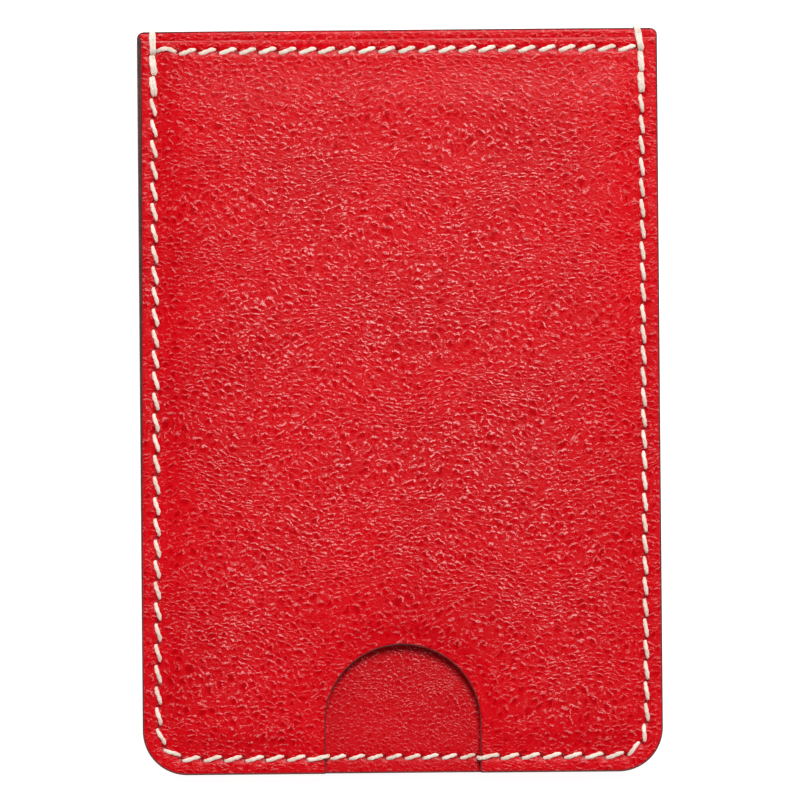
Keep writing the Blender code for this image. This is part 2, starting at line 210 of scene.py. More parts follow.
side_run = evenly(FIRST_HOLE, SEAM_HALF - NOTCH - OUTSIDE_EDGE, PITCH)
notch_reach = NOTCH - INSIDE_EDGE
notch_run = evenly(SEAM_HALF - notch_reach, SEAM_HALF + notch_reach, NOTCH_PITCH)
seam_holes = np.concatenate([side_run, notch_run, 2 * SEAM_HALF - side_run[::-1]])
seam_spots = np.array([seam_place(distance) for distance in seam_holes])
hem_reach = HALF_WIDTH - SEAM_INSET - HEM_TO_SEAM
hem_holes = evenly(-hem_reach, hem_reach, HEM_PITCH)
print(len(seam_holes), "seam holes,", len(hem_holes), "hem holes")

# %% [markdown]
# ## Outlines
# Each layer is cut from the same outline. The corners are rounded by an arc, and the line is
# then divided into short equal steps, so a mesh built from it has even edges. The leather is
# set back from the painted edge by a lip, widest along the upper left, where the edge shows.


# %% A closed outline with rounded corners
STEP = 0.25
ARC_STEP = 0.1
NOTCH_FOOT = 0.3
LIP = 0.17
UPPER_LEFT_LIP = 0.42
NOTCH_LIP_LESS = 0.06
MOUTH_LIP_LESS = 0.05


def rounded_outline(points):
    """Evenly spaced places and inward directions around corners of given radius."""
    path = []
    for index, (x, y, radius) in enumerate(points):
        corner = np.array([x, y])
        back = np.array(points[index - 1][:2]) - corner
        ahead = np.array(points[(index + 1) % len(points)][:2]) - corner
        back, ahead = back / np.linalg.norm(back), ahead / np.linalg.norm(ahead)
        centre = corner + (back + ahead) * radius
        for turn in np.linspace(0, math.pi / 2, max(int(radius / ARC_STEP), 4)):
            path.append(centre - radius * (ahead * math.cos(turn) + back * math.sin(turn)))
    path = np.array(path + path[:1])
    lengths = np.concatenate([[0], np.cumsum(np.linalg.norm(np.diff(path, axis=0), axis=1))])
    count = round(lengths[-1] / STEP)
    places = np.linspace(0, lengths[-1], count, endpoint=False)
    spots = np.stack([np.interp(places, lengths, path[:, axis]) for axis in (0, 1)], axis=1)
    along = np.roll(spots, -1, axis=0) - np.roll(spots, 1, axis=0)
    along /= np.linalg.norm(along, axis=1)[:, None]
    return spots, np.stack([-along[:, 1], along[:, 0]], axis=1)


def panel_outline(notched):
    notch = [(-NOTCH, BOTTOM, NOTCH_FOOT), (-NOTCH, NOTCH_TOP, NOTCH),
             (NOTCH, NOTCH_TOP, NOTCH), (NOTCH, BOTTOM, NOTCH_FOOT)]
    return rounded_outline([(-HALF_WIDTH, MOUTH, MOUTH_CORNER), (-HALF_WIDTH, BOTTOM, CORNER)]
                           + (notch if notched else [])
                           + [(HALF_WIDTH, BOTTOM, CORNER), (HALF_WIDTH, MOUTH, MOUTH_CORNER)])


def lip_width(x, y):
    """How far the leather stands back from the painted edge."""
    upper_left = step(-HALF_WIDTH + 6, -HALF_WIDTH + 2, x) * step(-35, 45, y)
    at_notch = step(0.5, 0.2, notch_distance(x, y)) * step(BOTTOM + 0.1, BOTTOM + 0.4, y)
    at_mouth = step(0.3, 0.1, MOUTH - y) * step(0.8, 1.6, HALF_WIDTH - np.abs(x))
    return (LIP + UPPER_LEFT_LIP * upper_left * step(0, 1.5, MOUTH - y)
            - NOTCH_LIP_LESS * at_notch - MOUTH_LIP_LESS * at_mouth)


def edge_distance(x, y, notched):
    """How far a place is inside the cut edge of a panel."""
    gap = np.minimum(side_distance(x, y), MOUTH - y)
    if notched:
        gap = np.minimum(gap, notch_distance(x, y))
    return gap - lip_width(x, y)


# %% [markdown]
# ## Sheets with thickness
# A sheet has an upper skin that carries all the detail, a plain lower skin, and a wall that
# joins them. Points are spread over the sheet, close together along the sewn margins and
# further apart in the middle, and a triangulation joins them inside the outline. The lower
# skin is glued down and hidden, so its points are five times further apart.

# %% Points and triangles
FINE = 0.23
MARGIN_BAND = 4.6
EDGE_ROWS = (0.07, 0.17)
ROW_HEIGHT = 0.87
PLAIN_SIDE_COARSER = 5


def scattered(notched, spacing, coarse_from, depth_inside=edge_distance):
    """A staggered grid inside a panel, thinned to every second point beyond a distance."""
    columns = np.arange(-round(HALF_WIDTH / spacing), round(HALF_WIDTH / spacing) + 1)
    rows = np.arange(round(BOTTOM / spacing / ROW_HEIGHT),
                     round(MOUTH / spacing / ROW_HEIGHT) + 1)
    column, row = [axis.ravel() for axis in np.meshgrid(columns, rows)]
    x = (column + 0.5 * (row % 2)) * spacing
    y = row * spacing * ROW_HEIGHT
    inside = depth_inside(x, y, notched)
    kept = (column % 2 == 0) & (row % 2 == 0) | (inside < coarse_from)
    kept &= inside > max(EDGE_ROWS) + 0.5 * spacing
    return np.stack([x[kept], y[kept]], axis=1)


def triangles(ring, inner):
    """Triangles that join a ring and the points inside it."""
    points = [Vector(point) for point in np.concatenate([ring, inner])]
    made = delaunay_2d_cdt(points, [], [list(range(len(ring)))], 1, 1e-7)
    return np.array([vertex[:] for vertex in made[0]]), np.array([list(f) for f in made[2]])


def new_piece(name, points, faces, material):
    """A smooth mesh object from places in millimetres above the middle of the sleeve."""
    mesh = bpy.data.meshes.new(name)
    places = np.array(points, float) + [0, 0, MIDDLE]
    mesh.from_pydata(places * METRES, [], [list(map(int, face)) for face in faces])
    mesh.validate()
    mesh.shade_smooth()
    piece = bpy.data.objects.new(name, mesh)
    bpy.context.scene.collection.objects.link(piece)
    mesh.materials.append(material)
    print(name, len(mesh.vertices), "points", len(mesh.polygons), "faces")
    return piece


def sheet(name, notched, side, lower, upper, material, spacing=FINE, band=MARGIN_BAND,
          outline=panel_outline, lip=lip_width, depth_inside=edge_distance):
    """A closed sheet between two heights. Side is 1 for the front and -1 for the back."""
    base, inward = outline(notched)
    lips = lip(base[:, 0], base[:, 1])[:, None]
    ring = base + inward * lips
    rows = [base + inward * (lips + row) for row in EDGE_ROWS]
    top_points, top_faces = triangles(
        ring, np.concatenate(rows + [scattered(notched, spacing, band, depth_inside)]))
    low_points, low_faces = triangles(
        ring, scattered(notched, spacing * PLAIN_SIDE_COARSER, 0.0, depth_inside))
    top = np.column_stack([top_points, side * upper(top_points[:, 0], top_points[:, 1])])
    low = np.column_stack([low_points, side * lower(low_points[:, 0], low_points[:, 1])])
    count, offset = len(ring), len(top)
    here = np.arange(count)
    after = (here + 1) % count
    wall = np.stack([here, here + offset, after + offset, after], axis=1)
    if side > 0:
        faces = list(top_faces) + list(low_faces[:, ::-1] + offset) + list(wall)
    else:
        faces = list(top_faces[:, ::-1]) + list(low_faces + offset) + list(wall[:, ::-1])
    return new_piece(name, np.concatenate([top, low]), faces, material)


# %% [markdown]
# ## Leather grain
# Goat leather is covered in small raised cells with fine valleys between them. The cells of
# the outside are pressed long and wavy. Where they would catch the lamp as short pale strokes,
# the strokes are painted in: a painted highlight on the side of each cell that faces the lamp.
# Both leathers have the same kind of grain at different sizes, so it is one node group: warped
# cells give the height, the valleys and the painted highlights.


# %% Helpers for nodes
def add(tree, kind, inputs=None, **settings):
    """A node with its settings and its inputs: a value is set, a socket is linked."""
    made = tree.nodes.new(kind)
    for name, value in settings.items():
        setattr(made, name, value)
    for name, value in (inputs or {}).items():
        if isinstance(value, bpy.types.NodeSocket):
            tree.links.new(value, made.inputs[name])
        else:
            made.inputs[name].default_value = value
    return made


def between(tree, value, low, high, to_low=0.0, to_high=1.0):
    """A smooth change from one number to another as a value goes from low to high."""
    return add(tree, "ShaderNodeMapRange", {
        "Value": value, "From Min": low, "From Max": high, "To Min": to_low,
        "To Max": to_high}, interpolation_type="SMOOTHSTEP").outputs["Result"]


def maths(tree, operation, first, second=0.0):
    return add(tree, "ShaderNodeMath", {0: first, 1: second}, operation=operation).outputs[0]


def blend_colour(tree, amount, first, second):
    mixed = add(tree, "ShaderNodeMix", data_type="RGBA")
    for index, value in ((0, amount), (6, first), (7, second)):
        if isinstance(value, bpy.types.NodeSocket):
            tree.links.new(value, mixed.inputs[index])
        else:
            mixed.inputs[index].default_value = value
    return mixed.outputs[2]


def colour(red, green, blue):
    """A colour from the 0 to 255 numbers of a paint chart."""
    def light(value):
        value = value / 255
        return value / 12.92 if value <= 0.04045 else ((value + 0.055) / 1.055) ** 2.4
    return (light(red), light(green), light(blue), 1.0)


def new_group(name, inputs, outputs):
    """An empty node group with named number inputs, a Place input, and named outputs."""
    tree = bpy.data.node_groups.new(name, "ShaderNodeTree")
    tree.interface.new_socket("Place", in_out="INPUT", socket_type="NodeSocketVector")
    for label, value in inputs.items():
        socket = tree.interface.new_socket(label, in_out="INPUT",
                                           socket_type="NodeSocketFloat")
        socket.default_value = value
    for label in outputs:
        tree.interface.new_socket(label, in_out="OUTPUT", socket_type="NodeSocketFloat")
    return tree, tree.nodes.new("NodeGroupInput"), tree.nodes.new("NodeGroupOutput")


def grouped(tree, group, inputs):
    made = tree.nodes.new("ShaderNodeGroup")
    made.node_tree = group
    for name, value in inputs.items():
        if isinstance(value, bpy.types.NodeSocket):
            tree.links.new(value, made.inputs[name])
        else:
            made.inputs[name].default_value = value
    return made


# %% The grain group
def grain_group():
    tree, given, result = new_group(
        "Leather grain", {"Across": 1000.0, "Down": 1900.0, "Warp": 0.5},
        ("Height", "Valley", "Painted highlight", "Core"))
    size = add(tree, "ShaderNodeCombineXYZ", {
        "X": given.outputs["Across"], "Y": given.outputs["Down"],
        "Z": given.outputs["Across"]}).outputs[0]
    place = add(tree, "ShaderNodeVectorMath", {0: given.outputs["Place"], 1: size},
                operation="MULTIPLY").outputs[0]
    drift = add(tree, "ShaderNodeTexNoise", {"Vector": place, "Scale": 0.45, "Detail": 2.0})
    jag = add(tree, "ShaderNodeTexNoise", {"Vector": place, "Scale": 2.6, "Detail": 2.0})
    both = add(tree, "ShaderNodeVectorMath", {
        0: jag.outputs["Color"], 1: (0.6, 0.6, 0.6), 2: drift.outputs["Color"]},
        operation="MULTIPLY_ADD").outputs[0]
    centred = add(tree, "ShaderNodeVectorMath", {
        0: both, 1: (0.8, 0.8, 0.8)}, operation="SUBTRACT").outputs[0]
    push = add(tree, "ShaderNodeVectorMath", {
        0: centred, "Scale": given.outputs["Warp"]}, operation="SCALE").outputs[0]
    bend = add(tree, "ShaderNodeTexNoise", {"Vector": place, "Scale": 0.07, "Detail": 1.0})
    flow = add(tree, "ShaderNodeVectorMath", {
        0: bend.outputs["Color"], 1: (0.0, 9.0, 0.0), 2: push},
        operation="MULTIPLY_ADD").outputs[0]
    warped = add(tree, "ShaderNodeVectorMath", {0: place, 1: flow},
                 operation="ADD").outputs[0]
    gap = add(tree, "ShaderNodeTexVoronoi", {"Vector": warped, "Scale": 1.0},
              feature="DISTANCE_TO_EDGE").outputs["Distance"]
    cell = add(tree, "ShaderNodeTexVoronoi", {"Vector": warped, "Scale": 1.0}, feature="F1")
    fine = add(tree, "ShaderNodeTexNoise", {
        "Vector": warped, "Scale": 3.8, "Detail": 4.0, "Roughness": 0.62}).outputs[0]
    wide = add(tree, "ShaderNodeTexNoise", {
        "Vector": warped, "Scale": 1.1, "Detail": 1.0}).outputs[0]
    body = between(tree, gap, 0.0, 0.26)
    # painted highlight: each cell is compared with a copy moved towards the lamp, so the side of
    # the cell that faces the lamp is marked
    beyond = add(tree, "ShaderNodeVectorMath", {0: warped, 1: (0.04, 0.19, 0.0)},
                 operation="ADD").outputs[0]
    gap_toward_lamp = add(tree, "ShaderNodeTexVoronoi", {"Vector": beyond, "Scale": 1.0},
                   feature="DISTANCE_TO_EDGE").outputs["Distance"]
    fall = maths(tree, "SUBTRACT", body, between(tree, gap_toward_lamp, 0.0, 0.26))
    height = maths(tree, "ADD", maths(tree, "MULTIPLY", body, 0.4),
                   maths(tree, "MULTIPLY", wide, 0.7))
    height = maths(tree, "ADD", height, maths(tree, "MULTIPLY", fine, 0.2))
    chance = add(tree, "ShaderNodeSeparateColor", {
        "Color": cell.outputs["Color"]}).outputs[0]
    # the painted highlight falls on the lamp-facing cell sides, more on some cells than others,
    # broken up by fine noise
    lit = maths(tree, "ADD", maths(tree, "MULTIPLY", chance, 0.3), wide)
    painted_highlight = maths(tree, "MULTIPLY", between(tree, fall, 0.16, 0.6),
                  between(tree, lit, 0.40, 0.68))
    painted_highlight = maths(tree, "MULTIPLY", painted_highlight, between(tree, fine, 0.42, 0.56))
    for label, value in (("Height", height), ("Painted highlight", painted_highlight),
                         ("Core", between(tree, gap, 0.16, 0.36)),
                         ("Valley", maths(tree, "SUBTRACT", 1.0, body))):
        tree.links.new(value, result.inputs[label])
    return tree


leather_grain = grain_group()
print("grain group:", len(leather_grain.nodes), "nodes")

# %% [markdown]
# ## Leather finishes
# Dyed leather is one strong colour with small changes: darker in the valleys. Light and shade
# are painted into the colour too: a painted shade round the needle holes, and painted highlights
# on the crowns and along the creased line that a hot tool presses just inside the mouth. The
# mesh carries three measured values to the material: how far a place is from the edge, which
# thins the relief and the painted highlights near it, how far from the creased line, and how
# close to a needle hole, which sets the painted shade there.


# %% Leather material
# painted shade: a dark red standing in for the shadow inside each needle hole, which the mesh
# does not cut
HOLE_SHADE_RED = colour(70, 4, 8)
HOLE_SHADE_STRENGTH = 0.85


def leather_material(name, dye, deep, haze, pale, across, down, warp, grain_depth, roughness,
                     painted_highlight_amount):
    material = bpy.data.materials.new(name)
    material.use_nodes = True
    tree = material.node_tree
    shader = tree.nodes["Principled BSDF"]
    place = add(tree, "ShaderNodeTexCoord").outputs["Object"]
    grain = grouped(tree, leather_grain, {
        "Place": place, "Across": across, "Down": down, "Warp": warp})
    painted_hole_shade = add(tree, "ShaderNodeAttribute", attribute_name="painted_hole_shade").outputs["Fac"]
    edge = add(tree, "ShaderNodeAttribute", attribute_name="edge").outputs["Fac"]
    crease = add(tree, "ShaderNodeAttribute", attribute_name="crease").outputs["Fac"]
    cloud = add(tree, "ShaderNodeTexNoise", {
        "Vector": place, "Scale": 90.0, "Detail": 4.0}).outputs[0]
    # smoothness fades both the grain relief and the painted highlights towards the edge
    smoothness = between(tree, edge, 0.0, 20.0, 0.42, 1.0)
    highlight_patches = between(tree, cloud, 0.38, 0.62, 0.75, 1.0)
    # painted highlights: pale colour on the lamp-facing cell sides, in patches
    painted_highlights = maths(tree, "MULTIPLY", grain.outputs["Painted highlight"],
                   maths(tree, "MULTIPLY", smoothness, highlight_patches))
    base = blend_colour(tree, between(tree, cloud, 0.3, 0.7, 0.0, 0.3), dye, deep)
    base = blend_colour(tree, maths(tree, "MULTIPLY", grain.outputs["Core"], 0.75),
                        base, deep)
    base = blend_colour(tree, maths(tree, "MULTIPLY", grain.outputs["Valley"], 0.5),
                        base, haze)
    # pale is the colour of the painted highlights
    base = blend_colour(tree, maths(tree, "MULTIPLY", painted_highlights, painted_highlight_amount), base, pale)
    # painted highlight along the creased line, broken up by noise
    on_crease = between(tree, maths(tree, "ABSOLUTE", crease), 0.13, 0.03)
    line = maths(tree, "MULTIPLY", on_crease, between(tree, cloud, 0.4, 0.65, 0.08, 0.4))
    base = blend_colour(tree, line, base, pale)
    # painted shade round the needle holes
    dark = blend_colour(tree, maths(tree, "MULTIPLY", painted_hole_shade, HOLE_SHADE_STRENGTH), base, HOLE_SHADE_RED)
    tree.links.new(dark, shader.inputs["Base Color"])
    rough = between(tree, grain.outputs["Valley"], 0.0, 1.0, roughness, roughness + 0.08)
    tree.links.new(rough, shader.inputs["Roughness"])
    shader.inputs["Specular IOR Level"].default_value = 0.18
    depth = maths(tree, "MULTIPLY", grain.outputs["Height"], smoothness)
    relief = add(tree, "ShaderNodeBump", {
        "Strength": 0.8, "Distance": grain_depth * METRES, "Height": depth})
    tree.links.new(relief.outputs[0], shader.inputs["Normal"])
    return material


# the fourth colour of each leather is the pale colour of its painted highlights
outer_red = leather_material(
    "Red goat leather", colour(222, 1, 18), colour(168, 1, 10), colour(202, 12, 22),
    colour(255, 168, 168), across=890.0, down=1310.0, warp=1.3, grain_depth=0.13,
    roughness=0.25, painted_highlight_amount=0.98)
lining_red = leather_material(
    "Red lining leather", colour(216, 1, 18), colour(178, 1, 12), colour(198, 10, 20),
    colour(255, 160, 164), across=1500.0, down=1650.0, warp=0.9, grain_depth=0.09,
    roughness=0.3, painted_highlight_amount=0.75)

# %% [markdown]
# ## Thread, edge paint and board
# The thread is waxed ivory linen: matt, with fine fibres along its twist. The edge paint is a
# brown, slightly glossy coat with small ripples from the brush. The board inside is grey
# pressed fibre, seen only when the sleeve is taken apart.


# %% Thread, paint and board materials
def speckled_material(name, first, second, scale, roughness, depth, sheen=0.0):
    material = bpy.data.materials.new(name)
    material.use_nodes = True
    tree = material.node_tree
    shader = tree.nodes["Principled BSDF"]
    place = add(tree, "ShaderNodeTexCoord").outputs["Object"]
    spots = add(tree, "ShaderNodeTexNoise", {
        "Vector": place, "Scale": scale, "Detail": 4.0, "Roughness": 0.6}).outputs[0]
    broad = add(tree, "ShaderNodeTexNoise", {
        "Vector": place, "Scale": scale / 9, "Detail": 2.0}).outputs[0]
    mixed = maths(tree, "MULTIPLY", maths(tree, "ADD", spots, broad), 0.5)
    base = blend_colour(tree, between(tree, mixed, 0.38, 0.62), first, second)
    tree.links.new(base, shader.inputs["Base Color"])
    tree.links.new(between(tree, spots, 0.3, 0.7, roughness - 0.08, roughness + 0.08),
                   shader.inputs["Roughness"])
    shader.inputs["Sheen Weight"].default_value = sheen
    relief = add(tree, "ShaderNodeBump", {
        "Strength": 0.7, "Distance": depth * METRES, "Height": spots})
    tree.links.new(relief.outputs[0], shader.inputs["Normal"])
    return material


ivory_thread = speckled_material("Ivory linen thread", colour(254, 240, 226),
                                 colour(226, 206, 188), 6000.0, 0.8, 0.06, sheen=0.2)
brown_paint = speckled_material("Brown edge paint", colour(86, 42, 38),
                                colour(54, 26, 24), 900.0, 0.5, 0.03)
thin_paint = speckled_material("Thin paint of the notch", colour(128, 24, 28),
                               colour(88, 18, 22), 900.0, 0.5, 0.03)
grey_board = speckled_material("Grey fibre board", colour(150, 146, 138),
                               colour(118, 112, 104), 2500.0, 0.85, 0.03)
print("materials:", [m.name for m in bpy.data.materials])

# %% [markdown]
# ## The outer leather
# The thread pulls the leather down along the seam, dents it at each hole and puckers it
# between them. These are real dents in the mesh, because they catch light from the side. The
# cut edge is rounded over, as it is when it has been sanded and painted.

# %% Details pressed into the leather
GROOVE = 0.10
DENT = 0.22
PUCKER = 0.05
GROOVE_WIDTH = 0.55
HEM_GROOVE_WIDTH = 0.5
DENT_WIDTH = 0.42
PUCKER_LENGTH, PUCKER_WIDTH = 0.85, 1.9
EDGE_ROUND = 0.22
CREASE_INSET = 1.35
CREASE_DEPTH = 0.05
CREASE_WIDTH = 0.22
BROAD_WAVE, SMALL_WAVE = 0.035, 0.012


def holes_near(x, y):
    """How close a place is to a needle hole, from 0 to 1."""
    near = np.zeros_like(x)
    spots = [(spot[0], spot[1]) for spot in seam_spots]
    spots += [(hole, HEM) for hole in hem_holes]
    for spot_x, spot_y in spots:
        near = np.maximum(near, bump(np.hypot(x - spot_x, y - spot_y), DENT_WIDTH))
    return near


def puckers(x, y):
    """Small ridges across the seam, one under each stitch."""
    ridges = np.zeros_like(x)
    for index, (start, end) in enumerate(zip(seam_spots, seam_spots[1:])):
        centre = (start[:2] + end[:2]) / 2
        along = (end[:2] - start[:2]) / np.linalg.norm(end[:2] - start[:2])
        run = (x - centre[0]) * along[0] + (y - centre[1]) * along[1]
        off = (x - centre[0]) * -along[1] + (y - centre[1]) * along[0]
        size = 0.7 + 0.6 * (math.sin(index * 7.3) * 0.5 + 0.5)
        ridges += size * bump(run, PUCKER_LENGTH) * bump(off, PUCKER_WIDTH)
    return ridges


def ripple(x, y, wide, tall, seed):
    """Smooth noise between -1 and 1, longer one way than the other."""
    return np.array([noise.noise(Vector((a / wide, b / tall, seed)))
                     for a, b in zip(x, y)])


def pressed(x, y, side):
    """How much the stitching and the handling move the leather surface."""
    seam = side_distance(x, y) - SEAM_INSET
    hem = y - HEM
    hem_on = step(HALF_WIDTH - 1.5, HALF_WIDTH - 3.5, np.abs(x))
    move = -GROOVE * bump(seam, GROOVE_WIDTH) - GROOVE * bump(hem, HEM_GROOVE_WIDTH) * hem_on
    move += PUCKER * (puckers(x, y) - 0.5 * bump(seam, PUCKER_WIDTH))
    move -= DENT * holes_near(x, y)
    move -= CREASE_DEPTH * bump(MOUTH - y - CREASE_INSET, CREASE_WIDTH)
    move += BROAD_WAVE * ripple(x, y, 11.0, 6.0, 3.1 * side)
    move += SMALL_WAVE * ripple(x, y, 2.6, 1.7, 7.7 * side)
    return move


def rounded_edge(gap):
    """The fall of a surface towards its rounded edge."""
    left = np.clip(EDGE_ROUND - gap, 0, EDGE_ROUND)
    return EDGE_ROUND - np.sqrt(EDGE_ROUND ** 2 - left ** 2)


def leather_surface(notched, side):
    def surface(x, y):
        fall = rounded_edge(edge_distance(x, y, notched))
        return leather_top(x, y, notched) + pressed(x, y, side) - fall
    return surface


def store(piece, name, values):
    layer = piece.data.attributes.new(name, "FLOAT", "POINT")
    layer.data.foreach_set("value", np.asarray(values, np.float32))


def measure(piece, notched, with_crease):
    """Gives the material the distance from the edge and from the crease, and the strength of the
    painted shade round the holes.
    """
    places = np.array([vertex.co[:] for vertex in piece.data.vertices]) / METRES
    x, y = places[:, 0], places[:, 1]
    store(piece, "edge", np.minimum(edge_distance(x, y, notched), 25.0))
    store(piece, "painted_hole_shade", holes_near(x, y) ** 2.0)
    line = MOUTH - y - CREASE_INSET if with_crease else np.full_like(x, 9.0)
    store(piece, "crease", np.clip(line, -3, 3))


# %% Front and back leather
def leather_skin(name, notched, side, node):
    piece = sheet(name, notched, side, lambda x, y: leather_bottom(x, y, notched),
                  leather_surface(notched, side), outer_red)
    measure(piece, notched, True)
    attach(piece, "root")
    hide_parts(node)


leather_skin("front_leather_skin", True, 1, "front_leather")
leather_skin("back_leather_skin", False, -1, "back_leather")

# %% [markdown]
# ## The linings and the boards
# The lining is a thinner leather glued behind the outer one. In the notch the lining of the
# back shows, with the seam sewn through it, so it is dented there as well. The boards are
# hidden, end short of the seam, the mouth and the notch, and thin out towards their edges.


# %% Linings
LINING_GROOVE = 0.08
LINING_DENT = 0.16
LINING_WAVE = 0.012
LINING_ROUND = 0.6
LINING_SPACING = 0.32
LINING_BAND = 4.0


def lining_inside(notched, side):
    """The side of a lining that faces the pocket."""
    def surface(x, y):
        open_part = step(0.3, -0.3, notch_distance(x, y)) if not notched else 0 * x
        seam = bump(side_distance(x, y) - SEAM_INSET, 0.6)
        dents = open_part * (LINING_GROOVE * seam + LINING_DENT * holes_near(x, y))
        waves = LINING_WAVE * ripple(x, y, 5.0, 5.0, 21.0 * side)
        fall = rounded_edge(edge_distance(x, y, notched)) * LINING_ROUND
        return pocket_height(x, y) + dents + waves * step(3, 6, side_distance(x, y)) + fall
    return surface


def lining_skin(name, notched, side, node):
    """The detailed skin faces the pocket, so the sheet is built from the inside out."""
    piece = sheet(name, notched, -side,
                  lambda x, y: -lining_top(x, y),
                  lambda x, y: -lining_inside(notched, side)(x, y), lining_red,
                  spacing=LINING_SPACING, band=LINING_BAND)
    measure(piece, notched, False)
    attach(piece, "root")
    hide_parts(node)


lining_skin("front_lining_skin", True, 1, "front_lining")
lining_skin("back_lining_skin", False, -1, "back_lining")

# %% Boards
BOARD_SIDE = 4.3
BOARD_MOUTH = 7.0
BOARD_NOTCH = 2.1
BOARD_CORNER = 1.5
BOARD_FOOT = 0.5
BOARD_SPACING = 1.2


def board_outline(notched):
    """The smaller outline of a board, which also goes round the thumb notch."""
    half, low, high = HALF_WIDTH - BOARD_SIDE, BOTTOM + BOARD_SIDE, MOUTH - BOARD_MOUTH
    wide, tall = NOTCH + BOARD_NOTCH, NOTCH_TOP + BOARD_NOTCH
    notch = [(-wide, low, BOARD_FOOT), (-wide, tall, wide),
             (wide, tall, wide), (wide, low, BOARD_FOOT)]
    return rounded_outline([(-half, high, BOARD_CORNER), (-half, low, CORNER - BOARD_SIDE)]
                           + (notch if notched else [])
                           + [(half, low, CORNER - BOARD_SIDE), (half, high, BOARD_CORNER)])


def board_distance(x, y, notched):
    """How far a place is inside the edge of a board."""
    gap = np.minimum(side_distance(x, y) - BOARD_SIDE, MOUTH - BOARD_MOUTH - y)
    if notched:
        gap = np.minimum(gap, notch_distance(x, y) - BOARD_NOTCH)
    return gap


def board_piece(name, notched, side, node):
    def lower(x, y):
        return lining_top(x, y) + GLUE / 2

    def upper(x, y):
        return leather_bottom(x, y, notched) - GLUE / 2
    piece = sheet(name, notched, side, lower, upper, grey_board, spacing=BOARD_SPACING, band=0.0,
                  outline=board_outline, lip=lambda x, y: np.zeros_like(x),
                  depth_inside=board_distance)
    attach(piece, "root")
    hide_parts(node)


board_piece("front_board", True, 1, "front_stiffener")
board_piece("back_board", False, -1, "back_stiffener")

# %% [markdown]
# ## Painted edges
# All cut edges are sanded and painted, which leaves a smooth rounded bead. Each bead is a
# profile swept along the outline. The outer bead is as thick as the whole sleeve, and only as
# thick as the back where the front is cut away for the thumb.


# %% Sweep a bead
BEAD_OVERLAP = 0.02
OUTER_BEAD_SHORT = 0.10
BEAD_SHORT = 0.08
BELOW_NOTCH = 0.03
MOUTH_BEAD_LIFT = 0.05
NOTCH_BEAD_LIFT = 0.03
NOTCH_BEAD_WIDTH = 0.13
MOUTH_BEAD_POINTS = 300


def bead(name, base, inward, low, high, widths, material):
    """A rounded strip along a line, between two heights at each place."""
    # each pair is a share of the width and a share of the half height, round the profile
    shares = [(1.0, 1.0), (0.55, 0.99), (0.22, 0.90), (0.05, 0.70), (0.0, 0.35), (0.0, -0.35),
              (0.05, -0.70), (0.22, -0.90), (0.55, -0.99), (1.0, -1.0)]
    middle, half = (low + high) / 2, (high - low) / 2
    points = []
    for index in range(len(base)):
        for depth, level in shares:
            spot = base[index] + inward[index] * widths[index] * depth
            points.append((spot[0], spot[1], middle[index] + half[index] * level))
    count = len(shares)
    faces = []
    for index in range(len(base) - 1):
        for corner in range(count):
            a = index * count + corner
            b = index * count + (corner + 1) % count
            faces.append((a, b, b + count, a + count))
    last = (len(base) - 1) * count
    faces.append(tuple(range(count))[::-1])
    faces.append(tuple(range(last, last + count)))
    return new_piece(name, points, faces, material)


def finish_edge(piece, node):
    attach(piece, "root")
    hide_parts(node)


# %% The outer bead
whole, whole_inward = panel_outline(False)
on_mouth = (whole[:, 1] > MOUTH - 0.01) & (np.abs(whole[:, 0]) < HALF_WIDTH - MOUTH_CORNER)
first = int(np.argmax(~on_mouth & np.roll(on_mouth, 1)))
order = np.roll(np.arange(len(whole)), -first)
order = order[~on_mouth[order]]
path, path_in = whole[order], whole_inward[order]
in_notch = (np.abs(path[:, 0]) < NOTCH + 0.1) & (path[:, 1] < BOTTOM + 1)
edge_top = leather_top(path[:, 0], path[:, 1], True) - OUTER_BEAD_SHORT
edge_top = np.where(in_notch, -CLOSED - BELOW_NOTCH, edge_top)
edge_low = -leather_top(path[:, 0], path[:, 1], False) + OUTER_BEAD_SHORT
outer_bead = bead("outer_edge_bead", path, path_in, edge_low, edge_top,
                  lip_width(path[:, 0], path[:, 1]) + BEAD_OVERLAP, brown_paint)
finish_edge(outer_bead, "outer_edge_paint")

# %% The mouth beads and the notch bead
mouth_x = np.linspace(MOUTH_CORNER - HALF_WIDTH, HALF_WIDTH - MOUTH_CORNER,
                      MOUTH_BEAD_POINTS)
mouth_line = np.stack([mouth_x, np.full_like(mouth_x, MOUTH)], axis=1)
mouth_in = np.tile([0.0, -1.0], (MOUTH_BEAD_POINTS, 1))
mouth_over = leather_top(mouth_x, MOUTH, True) - BEAD_SHORT
mouth_under = pocket_height(mouth_x, MOUTH) + MOUTH_BEAD_LIFT
mouth_lip = lip_width(mouth_x, np.full_like(mouth_x, MOUTH)) + BEAD_OVERLAP
front_bead = bead("front_mouth_bead", mouth_line, mouth_in, mouth_under, mouth_over,
                  mouth_lip, brown_paint)
finish_edge(front_bead, "front_mouth_edge_paint")
back_bead = bead("back_mouth_bead", mouth_line[::-1], mouth_in, -mouth_over[::-1],
                 -mouth_under[::-1], mouth_lip[::-1], brown_paint)
finish_edge(back_bead, "back_mouth_edge_paint")

cut, cut_inward = panel_outline(True)
around = (np.abs(cut[:, 0]) < NOTCH + 0.01) & (cut[:, 1] < NOTCH_TOP + 0.01)
around &= cut[:, 1] > BOTTOM + NOTCH_FOOT
notch_line, notch_in = cut[around], cut_inward[around]
notch_over = leather_top(notch_line[:, 0], notch_line[:, 1], True) - BEAD_SHORT
notch_under = pocket_height(notch_line[:, 0], notch_line[:, 1]) + NOTCH_BEAD_LIFT
notch_bead = bead("notch_bead", notch_line, notch_in, notch_under, notch_over,
                  np.full(len(notch_line), NOTCH_BEAD_WIDTH), thin_paint)
finish_edge(notch_bead, "notch_edge_paint")

